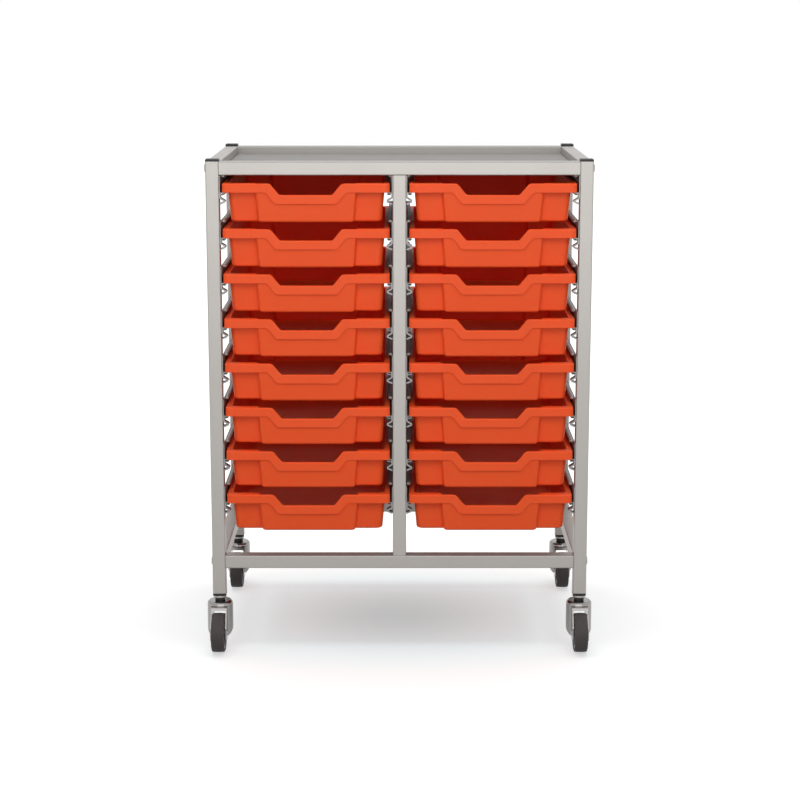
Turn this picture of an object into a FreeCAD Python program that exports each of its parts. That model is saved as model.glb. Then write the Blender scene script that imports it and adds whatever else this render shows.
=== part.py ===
import FreeCAD, Part
import os
import Sketcher

# Mobile storage unit: an open frame of square steel tube on four swivel castors, with two
# columns of shallow plastic trays on pressed-steel runners and a sheet pan let into its top.
# Millimetres. +X is the unit's right, +Y its back and +Z up. The origin is on the floor, in
# the middle of the unit's overall box. Each size stands once, in the table below.

SIZES = {
    # square tube frame
    "tube": 25.4,
    "tube_wall": 1.5,
    "tube_corner": 2.5,
    "frame_depth": 430,
    "bottom_rail_height": 158.6,
    "bottom_clear": 105.8,
    "top_clear": 32,
    # columns of trays
    "levels": 8,
    "pitch": 85,
    "tray_gap": 4,
    "slide_gap": 0.3,
    # top pan
    "pan_drop": 15,
    "pan_sheet": 1.2,
    "pan_flange": 10,
    "pan_bend": 2.5,
    # caps and foot plugs in the tube ends
    "cap_height": 4.5,
    "cap_round": 2,
    "cap_spigot": 8,
    "plug_flange": 5,
    "plug_spigot": 15,
    "plug_round": 1,
    "spigot_gap": 0.2,
    # bolts that hold the cross rails between the side frames
    "bolt_diameter": 6,
    "bolt_head": 17,
    "bolt_head_height": 2.2,
    "bolt_dome": 2,
    "bolt_reach": 14,
    "bolt_gap": 0.1,
    "insert_length": 16,
    # runners
    "runner_sheet": 1.5,
    "runner_inset": 1,
    "runner_fold": 1.3,
    "ledge_reach": 10.4,
    "ledge_hem": 3.3,
    "bead_bottom": 24,
    "bead_top": 31,
    "bead_reach": 9,
    "bead_lead": 36,
    "bead_round": 2.8,
    "foot_length": 15,
    "foot_top": 10.5,
    "foot_tip": 17,
    "foot_bottom": 23,
    "foot_reach": 12.5,
    "foot_gauge": 1.8,
    "foot_tip_gauge": 3,
    # trays
    "tray_width": 312,
    "tray_length": 427,
    "tray_height": 73,
    "tray_front": 8,
    "tray_wall": 2,
    "rim_height": 17,
    "rim_corner": 9,
    "tub_side": 8.5,
    "tub_end": 16,
    "tub_corner": 10,
    "tub_floor_round": 4.5,
    "panel_half": 95.5,
    "panel_corner": 7,
    "draft": 5,
    "dip_depth": 21.3,
    "dip_top_half": 66.7,
    "dip_bottom_half": 49.2,
    "band_top_half": 74.5,
    "band_bottom_half": 57.6,
    "dip_round": 5,
    "dip_crown": 9,
    "band_crown": 8,
    # castors
    "wheel_diameter": 75,
    "wheel_width": 25,
    "tyre_thickness": 7.5,
    "tyre_shoulder": 4,
    "hub_width": 24.4,
    "hub_rim": 3.5,
    "hub_rim_width": 23,
    "hub_boss": 18,
    "hub_web": 12,
    "hub_slope": 2,
    "castor_trail": 36,
    "hood_diameter": 49.5,
    "hood_bottom": 39,
    "hood_rear_bottom": 62,
    "hood_round": 6,
    "fork_height": 92,
    "slot_width": 27,
    "slot_top": 79.5,
    "slot_round": 3,
    "cheek_half": 16,
    "cheek_round": 1,
    "brow_height": 85,
    "brow_reach": 29.5,
    "brow_round": 2.5,
    "nose_front": 15,
    "nose_top": 50,
    "nose_bottom": 21,
    "nose_heel": 12,
    "nose_round": 11,
    "axle_diameter": 8,
    "axle_head": 12,
    "axle_head_height": 1.2,
    "axle_head_round": 1,
    "shaft_gap": 0.05,
    "swivel_gap": 0.3,
    "stem_diameter": 11,
    "stem_foot": 18,
    "stem_foot_height": 4,
    "stem_grip": 12,
    "seal_diameter": 19.4,
    "seal_height": 5.7,
    "ring_diameter": 25,
    "ring_height": 5,
    "ring_round": 1.5,
}

doc = FreeCAD.newDocument("tray_unit")
sheet = doc.addObject("Spreadsheet::Sheet", "dims")
for row, (alias, size) in enumerate(SIZES.items(), 1):
    sheet.set(f"A{row}", alias)
    sheet.set(f"B{row}", str(size))
    sheet.setAlias(f"B{row}", alias)
doc.recompute()

# Places that follow from the sizes, as expressions over the sheet.
BAY = "(dims.tray_width + 2 * dims.tray_gap + 2 * dims.runner_sheet)"
BAY_X = f"(({BAY} + dims.tube) / 2)"
POST_X = f"({BAY} + dims.tube)"
FRONT_REACH = "(dims.castor_trail + dims.wheel_diameter / 2 - dims.tube / 2)"
REAR_REACH = "(dims.frame_depth - dims.tube / 2 + dims.hood_diameter / 2)"
FACE_Y = f"(({FRONT_REACH} - {REAR_REACH}) / 2)"
POST_FRONT_Y = f"({FACE_Y} + dims.tube / 2)"
POST_REAR_Y = f"({FACE_Y} + dims.frame_depth - dims.tube / 2)"
MIDDLE_Y = f"({FACE_Y} + dims.frame_depth / 2)"
SEAL_Z = "(dims.fork_height + dims.swivel_gap)"
RING_Z = f"({SEAL_Z} + dims.seal_height)"
PLUG_Z = f"({RING_Z} + dims.ring_height)"
FOOT_Z = f"({PLUG_Z} + dims.plug_flange)"
BOTTOM_RAIL_Z = "(dims.bottom_rail_height + dims.tube / 2)"
LEDGE_Z = "(dims.bottom_rail_height + dims.tube + dims.bottom_clear)"
TOP_Z = f"({LEDGE_Z} + (dims.levels - 1) * dims.pitch + dims.top_clear + dims.tube)"
TOP_RAIL_Z = f"({TOP_Z} - dims.tube / 2)"
CROSS_LENGTH = f"(2 * {BAY} + dims.tube)"
SIDE_LENGTH = "(dims.frame_depth - 2 * dims.tube)"
SPIGOT = "(dims.tube - 2 * dims.tube_wall - 2 * dims.spigot_gap)"
AXLE_Z = "(dims.wheel_diameter / 2)"
OVERSHOOT = "5"

UP = FreeCAD.Vector(0, 0, 1)
AHEAD = FreeCAD.Vector(0, 1, 0)
ASIDE = FreeCAD.Vector(1, 0, 0)
NEAR = 1e-4
NODES = []


def number(text):
    """The value of an expression over the sheet."""
    return float(sheet.evalExpression(text))


def bind(item, links):
    """Tie properties of an object to expressions."""
    for name, text in links.items():
        item.setExpression(name, text)
    return item


def put(item, place, turn=None):
    """Place an object by three expressions and an optional fixed rotation."""
    if turn is not None:
        item.Placement = FreeCAD.Placement(FreeCAD.Vector(), turn)
    return bind(item, {f"Placement.Base.{axis}": text for axis, text in zip("xyz", place)})


def new_body(label):
    body = doc.addObject("PartDesign::Body", label)
    body.Label = label
    return body


def new_sketch(body, name, role, offset):
    """A sketch on one of the body's origin planes, raised along the plane's normal."""
    sketch = body.newObject("Sketcher::SketchObject", f"{body.Name}_{name}")
    plane = [item for item in body.Origin.OriginFeatures if item.Role == role][0]
    sketch.AttachmentSupport = [(plane, "")]
    sketch.MapMode = "FlatFace"
    sketch.setExpression("AttachmentOffset.Base.z", offset)
    return sketch


def pin_point(sketch, index, position, point):
    """Hold one point of a sketch at two expressions measured from its origin."""
    for kind, text in zip(("DistanceX", "DistanceY"), point):
        constraint = Sketcher.Constraint(kind, -1, 1, index, position, number(text))
        place = sketch.addConstraint(constraint)
        name = f"{kind}_{index}_{position}"
        sketch.renameConstraint(place, name)
        sketch.setExpression(f"Constraints.{name}", text)


def outline(body, name, role, *loops, offset="0"):
    """A sketch of closed loops of straight edges; each corner is a pair of expressions."""
    sketch = new_sketch(body, name, role, offset)
    for corners in loops:
        first = sketch.GeometryCount
        points = [FreeCAD.Vector(number(across), number(up), 0) for across, up in corners]
        for start, end in zip(points, points[1:] + points[:1]):
            sketch.addGeometry(Part.LineSegment(start, end))
        count = len(corners)
        for place, corner in enumerate(corners):
            after = first + (place + 1) % count
            sketch.addConstraint(Sketcher.Constraint("Coincident", first + place, 2, after, 1))
            pin_point(sketch, first + place, 1, corner)
    return sketch


def discs(body, name, role, centres, diameter, offset="0"):
    """A sketch of equal circles about the given centres."""
    sketch = new_sketch(body, name, role, offset)
    for centre in centres:
        middle = FreeCAD.Vector(number(centre[0]), number(centre[1]), 0)
        index = sketch.addGeometry(Part.Circle(middle, UP, number(diameter) / 2))
        size = sketch.addConstraint(Sketcher.Constraint("Diameter", index, number(diameter)))
        sketch.renameConstraint(size, f"diameter_{index}")
        sketch.setExpression(f"Constraints.diameter_{index}", diameter)
        pin_point(sketch, index, 3, centre)
    return sketch


def box_corners(left, right, low, high):
    return [(left, low), (right, low), (right, high), (left, high)]


def square(side):
    """The corners of a square about the sketch's origin."""
    return box_corners(f"-{side} / 2", f"{side} / 2", f"-{side} / 2", f"{side} / 2")


def pad(body, sketch, length, down=False, both=False, taper=None):
    """Add material from a sketch: along its normal, against it, or half each way."""
    feature = body.newObject("PartDesign::Pad", f"{sketch.Name}_pad")
    feature.Profile = sketch
    feature.Reversed = down
    if both:
        feature.SideType = "Symmetric"
    feature.setExpression("Length", length)
    if taper:
        feature.setExpression("TaperAngle", taper)
    doc.recompute()
    return feature


def cut(body, sketch):
    """Cut a sketch through the whole body, both ways, and make sure that it cut."""
    before = body.Shape.Volume
    feature = body.newObject("PartDesign::Pocket", f"{sketch.Name}_cut")
    feature.Profile = sketch
    feature.Type = "ThroughAll"
    feature.SideType = "Symmetric"
    doc.recompute()
    if not body.Shape.Volume < before:
        raise RuntimeError(f"{feature.Name} cuts nothing")
    return feature


def revolve(body, sketch, axis):
    feature = body.newObject("PartDesign::Revolution", f"{sketch.Name}_turned")
    feature.Profile = sketch
    feature.ReferenceAxis = (sketch, [axis])
    feature.Angle = 360
    doc.recompute()
    return feature


def soften(body, name, radius, chosen):
    """Round the edges of the body's tip whose end points and middle all pass a test."""
    base = body.Tip
    names = []
    for place, edge in enumerate(base.Shape.Edges, 1):
        middle = edge.valueAt((edge.FirstParameter + edge.LastParameter) / 2)
        if all(chosen(point) for point in [middle] + [corner.Point for corner in edge.Vertexes]):
            names.append(f"Edge{place}")
    if not names:
        raise RuntimeError(f"{body.Name}: no edge to round for {name}")
    feature = body.newObject("PartDesign::Fillet", f"{body.Name}_{name}")
    feature.Base = (base, names)
    feature.setExpression("Radius", radius)
    doc.recompute()
    return feature


def at(value, text):
    """True where a coordinate lies at an expression's value."""
    return abs(value - number(text)) < NEAR


def node(item, label=None):
    """Count an object as a finished sub-part; its label names its file."""
    if label:
        item.Label = label
    NODES.append(item)
    return item


def copies(label, source, places):
    """One node of equal solids: linked copies of a source at places, each with a turn."""
    links = []
    for place, (where, turn) in enumerate(places, 1):
        link = doc.addObject("App::Link", f"{label}_{place}")
        link.LinkedObject = source
        put(link, where, turn)
        links.append(link)
    group = doc.addObject("Part::Compound", label)
    group.Links = links
    return node(group)


# ---------------------------------------------------------------- tube frame

ALONG_X = FreeCAD.Rotation(UP, ASIDE)
ALONG_Y = FreeCAD.Rotation(UP, AHEAD)
STRAIGHT = FreeCAD.Rotation()
HALF_TURN = FreeCAD.Rotation(UP, 180)


def square_tube(label, length, place, turn=STRAIGHT, bolt_heights=()):
    """A length of square tube with rolled corners, from its start along an axis."""
    body = new_body(label)
    bore = "(dims.tube - 2 * dims.tube_wall)"
    pad(body, outline(body, "section", "XY_Plane", square("dims.tube"), square(bore)), length)
    outer = number("dims.tube / 2")
    inner = number(f"{bore} / 2")
    soften(body, "outer_corners", "dims.tube_corner",
           lambda p: abs(abs(p.x) - outer) < NEAR and abs(abs(p.y) - outer) < NEAR)
    soften(body, "inner_corners", "dims.tube_corner - dims.tube_wall",
           lambda p: abs(abs(p.x) - inner) < NEAR and abs(abs(p.y) - inner) < NEAR)
    if bolt_heights:
        centres = [("0", height) for height in bolt_heights]
        hole = "dims.bolt_diameter + 2 * dims.bolt_gap"
        cut(body, discs(body, "bolt_holes", "YZ_Plane", centres, hole))
    put(body, place, turn)
    return node(body)


def frame():
    bolt_heights = [f"{BOTTOM_RAIL_Z} - {FOOT_Z}", f"{TOP_RAIL_Z} - {FOOT_Z}"]
    for end, depth in (("front", POST_FRONT_Y), ("rear", POST_REAR_Y)):
        for side, sign in (("left", "-"), ("right", "")):
            square_tube(f"post_{end}_{side}", f"{TOP_Z} - {FOOT_Z}",
                        (f"{sign}{POST_X}", depth, FOOT_Z), bolt_heights=bolt_heights)
        square_tube(f"post_{end}_centre", f"{TOP_RAIL_Z} - {BOTTOM_RAIL_Z} - dims.tube",
                    ("0", depth, f"{BOTTOM_RAIL_Z} + dims.tube / 2"))
    for level, height in (("bottom", BOTTOM_RAIL_Z), ("top", TOP_RAIL_Z)):
        for end, depth in (("front", POST_FRONT_Y), ("rear", POST_REAR_Y)):
            square_tube(f"rail_{level}_{end}", CROSS_LENGTH,
                        (f"-{CROSS_LENGTH} / 2", depth, height), ALONG_X)
        for side, sign in (("left", "-"), ("right", "")):
            square_tube(f"rail_{level}_{side}", SIDE_LENGTH,
                        (f"{sign}{POST_X}", f"{FACE_Y} + dims.tube", height), ALONG_Y)


def top_pan():
    """A sheet tray with its flanges turned down, let in between the four top rails."""
    body = new_body("top_pan")
    half_x = f"({CROSS_LENGTH} / 2)"
    half_y = f"({SIDE_LENGTH} / 2)"
    outer = box_corners(f"-{half_x}", half_x, f"-{half_y}", half_y)
    sheet_in = "dims.pan_sheet"
    inner = box_corners(f"-{half_x} + {sheet_in}", f"{half_x} - {sheet_in}",
                        f"-{half_y} + {sheet_in}", f"{half_y} - {sheet_in}")
    pad(body, outline(body, "floor", "XY_Plane", outer), sheet_in, down=True)
    pad(body, outline(body, "flanges", "XY_Plane", outer, inner), "dims.pan_flange", down=True)
    soften(body, "bend", "dims.pan_bend", lambda p: at(p.z, "0"))
    put(body, ("0", MIDDLE_Y, f"{TOP_Z} - dims.pan_drop"))
    node(body)


def end_pieces():
    """Caps on the tops of the corner posts and plugs in their feet."""
    edge = number("dims.tube / 2")
    cap = new_body("cap_pattern")
    pad(cap, outline(cap, "plate", "XY_Plane", square("dims.tube")), "dims.cap_height")
    soften(cap, "corners", "dims.tube_corner",
           lambda p: abs(abs(p.x) - edge) < NEAR and abs(abs(p.y) - edge) < NEAR)
    soften(cap, "crown", "dims.cap_round", lambda p: at(p.z, "dims.cap_height"))
    pad(cap, outline(cap, "spigot", "XY_Plane", square(SPIGOT)), "dims.cap_spigot", down=True)
    plug = new_body("plug_pattern")
    pad(plug, outline(plug, "flange", "XY_Plane", square("dims.tube")), "dims.plug_flange")
    soften(plug, "corners", "dims.tube_corner",
           lambda p: abs(abs(p.x) - edge) < NEAR and abs(abs(p.y) - edge) < NEAR)
    soften(plug, "heel", "dims.plug_round", lambda p: at(p.z, "0"))
    pad(plug, outline(plug, "spigot", "XY_Plane", square(SPIGOT)),
        "dims.plug_flange + dims.plug_spigot")
    bore = "dims.stem_diameter + 2 * dims.shaft_gap"
    cut(plug, discs(plug, "bore", "XY_Plane", [("0", "0")], bore))
    corners = [(across, depth) for across in (f"-{POST_X}", POST_X)
               for depth in (POST_FRONT_Y, POST_REAR_Y)]
    copies("post_caps", cap, [((*corner, TOP_Z), STRAIGHT) for corner in corners])
    copies("post_plugs", plug, [((*corner, PLUG_Z), STRAIGHT) for corner in corners])


def frame_bolts():
    """Domed bolts through the posts, and the threaded inserts in the rails' ends."""
    bolt = new_body("bolt_pattern")
    shank = "(dims.bolt_diameter / 2)"
    head = "(dims.bolt_head / 2)"
    end = "(dims.tube + dims.bolt_reach)"
    profile = [("0", "dims.bolt_head_height"), ("0", f"-{end}"), (shank, f"-{end}"),
               (shank, "0"), (head, "0"), (head, "dims.bolt_head_height")]
    revolve(bolt, outline(bolt, "profile", "XZ_Plane", profile), "V_Axis")
    soften(bolt, "dome", "dims.bolt_dome",
           lambda p: at(p.z, "dims.bolt_head_height"))
    insert = new_body("insert_pattern")
    pad(insert, outline(insert, "block", "XY_Plane", square(SPIGOT)), "dims.insert_length",
        down=True)
    bore = "dims.bolt_diameter + 2 * dims.shaft_gap"
    cut(insert, discs(insert, "thread", "XY_Plane", [("0", "0")], bore))
    bolts = []
    inserts = []
    for sign, turn in (("", ALONG_X), ("-", FreeCAD.Rotation(UP, ASIDE.negative()))):
        for depth in (POST_FRONT_Y, POST_REAR_Y):
            for height in (BOTTOM_RAIL_Z, TOP_RAIL_Z):
                face = f"{sign}({POST_X} + dims.tube / 2)"
                rail_end = f"{sign}({POST_X} - dims.tube / 2)"
                bolts.append(((face, depth, height), turn))
                inserts.append(((rail_end, depth, height), turn))
    copies("frame_bolts", bolt, bolts)
    copies("rail_inserts", insert, inserts)


# ---------------------------------------------------------------- runners

def runner_pattern():
    """One pressed-steel runner. Its web lies on the posts at x = 0, its ledge's top is z = 0
    and it runs to the rear along y. Both ends are alike, so a half turn makes the other hand."""
    body = new_body("runner_pattern")
    gauge = "dims.runner_sheet"
    run = "(dims.frame_depth - 2 * dims.runner_inset)"
    web = [("0", f"-{gauge}"), (f"dims.ledge_reach - {gauge}", f"-{gauge}"),
           (f"dims.ledge_reach - {gauge}", "-dims.ledge_hem"),
           ("dims.ledge_reach", "-dims.ledge_hem"), ("dims.ledge_reach", "0"),
           (gauge, "0"), (gauge, "dims.bead_top"), ("0", "dims.bead_top")]
    pad(body, outline(body, "web", "XZ_Plane", web), run, down=True)
    soften(body, "fold", "dims.runner_fold",
           lambda p: at(p.x, "dims.ledge_reach") and at(p.z, "0"))
    bead = box_corners(gauge, "dims.bead_reach", "dims.bead_bottom", "dims.bead_top")
    bead_run = f"{run} - 2 * (dims.bead_lead - dims.runner_inset)"
    pad(body, outline(body, "bead", "XZ_Plane", bead, offset="dims.runner_inset - dims.bead_lead"),
        bead_run, down=True)
    soften(body, "bead_edges", "dims.bead_round",
           lambda p: at(p.x, "dims.bead_reach"))
    strap = [("0", f"-{gauge}"), ("0", "-dims.foot_bottom"), (gauge, "-dims.foot_bottom"),
             (gauge, f"-{gauge}")]
    nose = [(gauge, "-dims.foot_top"), ("dims.foot_reach", "-dims.foot_tip"),
            (gauge, "-dims.foot_bottom"), (gauge, "-dims.foot_bottom + dims.foot_gauge"),
            ("dims.foot_reach - dims.foot_tip_gauge", "-dims.foot_tip"),
            (gauge, "-dims.foot_top - dims.foot_gauge")]
    for name, start in (("front", "0"), ("rear", f"dims.foot_length - {run}")):
        pad(body, outline(body, f"{name}_strap", "XZ_Plane", strap, offset=start),
            "dims.foot_length", down=True)
        pad(body, outline(body, f"{name}_nose", "XZ_Plane", nose, offset=start),
            "dims.foot_length", down=True)
    soften(body, "nose_tips", "dims.runner_sheet",
           lambda p: at(p.x, "dims.foot_reach") and at(p.z, "-dims.foot_tip"))
    return body


def runners():
    source = runner_pattern()
    front = f"({FACE_Y} + dims.runner_inset)"
    rear = f"({FACE_Y} + dims.frame_depth - dims.runner_inset)"
    heights = [f"{LEDGE_Z} + {level} * dims.pitch" for level in range(int(number("dims.levels")))]
    walls = {
        "runners_left_outer": (f"-{POST_X} + dims.tube / 2", front, STRAIGHT),
        "runners_left_inner": ("-dims.tube / 2", rear, HALF_TURN),
        "runners_right_inner": ("dims.tube / 2", front, STRAIGHT),
        "runners_right_outer": (f"{POST_X} - dims.tube / 2", rear, HALF_TURN),
    }
    for label, (across, depth, turn) in walls.items():
        copies(label, source, [((across, depth, height), turn) for height in heights])


# ---------------------------------------------------------------- trays

def drafted_box(label, across, along, inset, corner):
    """A tapered block hung from the rim's top, drawn in by an inset, with its upright
    corners and its floor edge rounded."""
    body = new_body(label)
    middle = "(dims.tray_length / 2)"
    half = f"({across} - {inset})"
    reach = f"({along} - {inset})"
    depth = f"(dims.tray_height - {inset})"
    corners = box_corners(f"-{half}", half, f"{middle} - {reach}", f"{middle} + {reach}")
    sketch = outline(body, "top", "XY_Plane", corners, offset="dims.rim_height")
    pad(body, sketch, depth, down=True, taper="-dims.draft")
    lean = number("tan(dims.draft * 1 deg)")

    def on_corner(point):
        drawn = (number("dims.rim_height") - point.z) * lean
        at_side = abs(abs(point.x) + drawn - number(half)) < NEAR
        return at_side and abs(abs(point.y - number(middle)) + drawn - number(reach)) < NEAR

    soften(body, "corners", f"{corner} - {inset}", on_corner)
    soften(body, "floor_edge", f"dims.tub_floor_round - {inset}",
           lambda p: at(p.z, f"dims.rim_height - {depth}"))
    return body


def union(label, pieces):
    joined = doc.addObject("Part::MultiFuse", label)
    joined.Shapes = pieces
    return joined


def tub(label, inset):
    """The tub's form: a block as wide as the tray and one with its front and rear panels."""
    main = drafted_box(f"{label}_main", "(dims.tray_width / 2 - dims.tub_side)",
                       "(dims.tray_length / 2 - dims.tub_end)", inset, "dims.tub_corner")
    panel = drafted_box(f"{label}_panel", "dims.panel_half",
                        "(dims.tray_length / 2 - dims.tray_wall)", inset, "dims.panel_corner")
    return [main, panel]


def rim_block(label, inset, height, corner):
    """A straight block as wide and long as the rim less an inset, on the skirt's edge."""
    body = new_body(label)
    half = f"(dims.tray_width / 2 - {inset})"
    corners = box_corners(f"-{half}", half, inset, f"dims.tray_length - {inset}")
    pad(body, outline(body, "plan", "XY_Plane", corners), height)
    soften(body, "corners", corner,
           lambda p: abs(abs(p.x) - number(half)) < NEAR
           and (at(p.y, inset) or at(p.y, f"dims.tray_length - {inset}")))
    return body


def rim_and_skirt():
    """The flat rim, its turned-down skirt and the dipped band at the front.
    y = 0 is the front plane of the rim and z = 0 its lower edge."""
    wall = "dims.tray_wall"
    body = rim_block("tray_rim", "0", "dims.rim_height", "dims.rim_corner")
    band = [("-dims.band_top_half", wall), ("-dims.band_top_half", "0"),
            ("-dims.band_bottom_half", "-dims.dip_depth"),
            ("dims.band_bottom_half", "-dims.dip_depth"), ("dims.band_top_half", "0"),
            ("dims.band_top_half", wall)]
    pad(body, outline(body, "band", "XZ_Plane", band), wall, down=True)
    soften(body, "band_corners", "dims.dip_round",
           lambda p: at(p.z, "-dims.dip_depth") and at(abs(p.x), "dims.band_bottom_half"))
    soften(body, "band_crowns", "dims.band_crown",
           lambda p: at(p.z, "0") and at(abs(p.x), "dims.band_top_half"))
    skirt = doc.addObject("Part::Cut", "tray_skirt")
    skirt.Base = body
    skirt.Tool = rim_block("tray_under_rim", wall, f"dims.rim_height - {wall}",
                           f"dims.rim_corner - {wall}")
    return skirt


DIP_FLOOR = "(dims.rim_height - dims.dip_depth)"
DIP_SLOPE = "((dims.dip_top_half - dims.dip_bottom_half) / dims.dip_depth)"


def dip_flange():
    """The rim's flange where it follows the dip, from the skirt back to the tub's wall."""
    body = new_body("tray_dip_flange")
    aside = f"(dims.tray_wall * sqrt(1 + {DIP_SLOPE}^2))"
    low = f"({DIP_FLOOR} - dims.tray_wall)"
    low_half = f"(dims.dip_bottom_half + {aside} - dims.tray_wall * {DIP_SLOPE})"
    top_half = f"(dims.dip_top_half + {aside})"
    strip = [(f"-{top_half}", "dims.rim_height"), (f"-{low_half}", low), (low_half, low),
             (top_half, "dims.rim_height")]
    pad(body, outline(body, "strip", "XZ_Plane", strip), "dims.tub_end / 2", down=True)
    soften(body, "corners", "dims.dip_round + dims.tray_wall",
           lambda p: at(p.z, low) and at(abs(p.x), low_half))
    return body


def dip_cutter():
    """The notch that lowers the middle of the front so that a hand can reach the band."""
    body = new_body("tray_notch")
    above = f"(dims.rim_height + {OVERSHOOT})"
    shoulder = "(dims.dip_top_half + dims.dip_crown)"
    dip = [(f"-{shoulder}", above), (f"-{shoulder}", "dims.rim_height"),
           ("-dims.dip_top_half", "dims.rim_height"), ("-dims.dip_bottom_half", DIP_FLOOR),
           ("dims.dip_bottom_half", DIP_FLOOR), ("dims.dip_top_half", "dims.rim_height"),
           (shoulder, "dims.rim_height"), (shoulder, above)]
    pad(body, outline(body, "dip", "XZ_Plane", dip, offset=OVERSHOOT),
        f"dims.tub_end + {OVERSHOOT}", down=True)
    soften(body, "corners", "dims.dip_round",
           lambda p: at(p.z, DIP_FLOOR) and at(abs(p.x), "dims.dip_bottom_half"))
    soften(body, "crowns", "dims.dip_crown",
           lambda p: at(p.z, "dims.rim_height") and at(abs(p.x), "dims.dip_top_half"))
    return body


def tray_pattern():
    """One moulded tray: the tub and its rim, less the space inside and the dip in front."""
    solid = union("tray_solid", tub("tray_shell", "0") + [rim_and_skirt(), dip_flange()])
    spaces = union("tray_spaces", tub("tray_cavity", "dims.tray_wall") + [dip_cutter()])
    tray = doc.addObject("Part::Cut", "tray_pattern")
    tray.Base = solid
    tray.Tool = spaces
    doc.recompute()
    return tray


def trays():
    source = tray_pattern()
    front = f"{FACE_Y} - dims.tray_front"
    levels = int(number("dims.levels"))
    for side, across in (("left", f"-{BAY_X}"), ("right", BAY_X)):
        for level in range(levels):
            height = f"{LEDGE_Z} + dims.slide_gap + {levels - 1 - level} * dims.pitch"
            copies(f"tray_{side}_{level + 1}", source, [((across, front, height), STRAIGHT)])


# ---------------------------------------------------------------- castors
# Each castor trails to the front. Its pieces are drawn about the swivel axis, on the floor.

def stem_pattern():
    """The headed pin that the fork turns on, with the bearing ring under the post."""
    body = new_body("stem_pattern")
    pin = "(dims.stem_diameter / 2)"
    foot = "(dims.stem_foot / 2)"
    ring = "(dims.ring_diameter / 2)"
    foot_top = "(dims.slot_top - dims.swivel_gap)"
    profile = [("0", f"{foot_top} - dims.stem_foot_height"),
               (foot, f"{foot_top} - dims.stem_foot_height"), (foot, foot_top), (pin, foot_top),
               (pin, RING_Z), (ring, RING_Z), (ring, PLUG_Z), (pin, PLUG_Z),
               (pin, f"{FOOT_Z} + dims.stem_grip"), ("0", f"{FOOT_Z} + dims.stem_grip")]
    revolve(body, outline(body, "profile", "XZ_Plane", profile), "V_Axis")
    reach = number(ring)
    soften(body, "ring_edges", "dims.ring_round",
           lambda p: abs((p.x ** 2 + p.y ** 2) ** 0.5 - reach) < NEAR)
    return body


def seal_pattern():
    """The dust seal round the pin, between the fork and the bearing ring."""
    body = new_body("seal_pattern")
    bore = "dims.stem_diameter / 2 + dims.shaft_gap"
    profile = box_corners(bore, "dims.seal_diameter / 2", SEAL_Z, RING_Z)
    revolve(body, outline(body, "profile", "XZ_Plane", profile), "V_Axis")
    return body


def fork_pattern():
    """A plated die-cast fork: a round hood, and two flat cheeks that carry the axle forward of
    it. The cheeks join over the wheel in a short brow, and the hood's skirt rises to the rear."""
    body = new_body("fork_pattern")
    hood = discs(body, "hood", "XY_Plane", [("0", "0")], "dims.hood_diameter",
                 offset="dims.nose_bottom")
    pad(body, hood, "dims.fork_height - dims.nose_bottom")
    soften(body, "crown", "dims.hood_round", lambda p: at(p.z, "dims.fork_height"))
    nose_y = "(dims.castor_trail + dims.nose_front)"
    plan = box_corners("-dims.cheek_half", "dims.cheek_half", f"-{nose_y}", "0")
    pad(body, outline(body, "cheeks", "XY_Plane", plan, offset="dims.nose_bottom"),
        "dims.brow_height - dims.nose_bottom")
    beyond = f"-({nose_y} + {OVERSHOOT})"
    above = f"(dims.brow_height + {OVERSHOOT})"
    slope = f"((dims.brow_height - dims.nose_top) / ({nose_y} - dims.brow_reach))"
    brow = [(beyond, f"dims.nose_top - {OVERSHOOT} * {slope}"),
            ("-dims.brow_reach", "dims.brow_height"),
            (f"-dims.brow_reach + {OVERSHOOT} / {slope}", above), (beyond, above)]
    cut(body, outline(body, "brow", "YZ_Plane", brow))
    soften(body, "brow_edge", "dims.brow_round",
           lambda p: at(p.y, "-dims.brow_reach") and at(p.z, "dims.brow_height"))
    heel = ("-dims.castor_trail + dims.nose_heel", "dims.nose_bottom")
    skirt = [heel, ("0", "dims.hood_bottom"),
             ("dims.hood_diameter / 2", "dims.hood_rear_bottom"),
             ("dims.hood_diameter", "dims.hood_rear_bottom"), ("dims.hood_diameter", "0"),
             (heel[0], "0")]
    cut(body, outline(body, "skirt", "YZ_Plane", skirt))
    soften(body, "nose", "dims.nose_round",
           lambda p: at(p.y, f"-{nose_y}") and (at(p.z, "dims.nose_top")
                                                or at(p.z, "dims.nose_bottom")))
    root_y = "sqrt((dims.hood_diameter / 2)^2 - dims.cheek_half^2)"
    soften(body, "cheek_edges", "dims.cheek_round",
           lambda p: at(abs(p.x), "dims.cheek_half") and p.y < -number(root_y) - NEAR)
    slot = box_corners("-dims.slot_width / 2", "dims.slot_width / 2", "0", "dims.slot_top")
    cut(body, outline(body, "slot", "XZ_Plane", slot))
    soften(body, "slot_corners", "dims.slot_round",
           lambda p: at(p.z, "dims.slot_top") and at(abs(p.x), "dims.slot_width / 2"))
    bore = "dims.stem_diameter + 2 * dims.shaft_gap"
    cut(body, discs(body, "swivel_bore", "XY_Plane", [("0", "0")], bore))
    axle_bore = "dims.axle_diameter + 2 * dims.shaft_gap"
    cut(body, discs(body, "axle_bore", "YZ_Plane", [("-dims.castor_trail", AXLE_Z)], axle_bore))
    return body


def turned_on_axle(label, name, corners):
    """A piece turned about the wheel's axis, drawn as half-widths and radii."""
    body = new_body(label)
    revolve(body, outline(body, name, "XZ_Plane", corners), "H_Axis")
    return body


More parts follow.
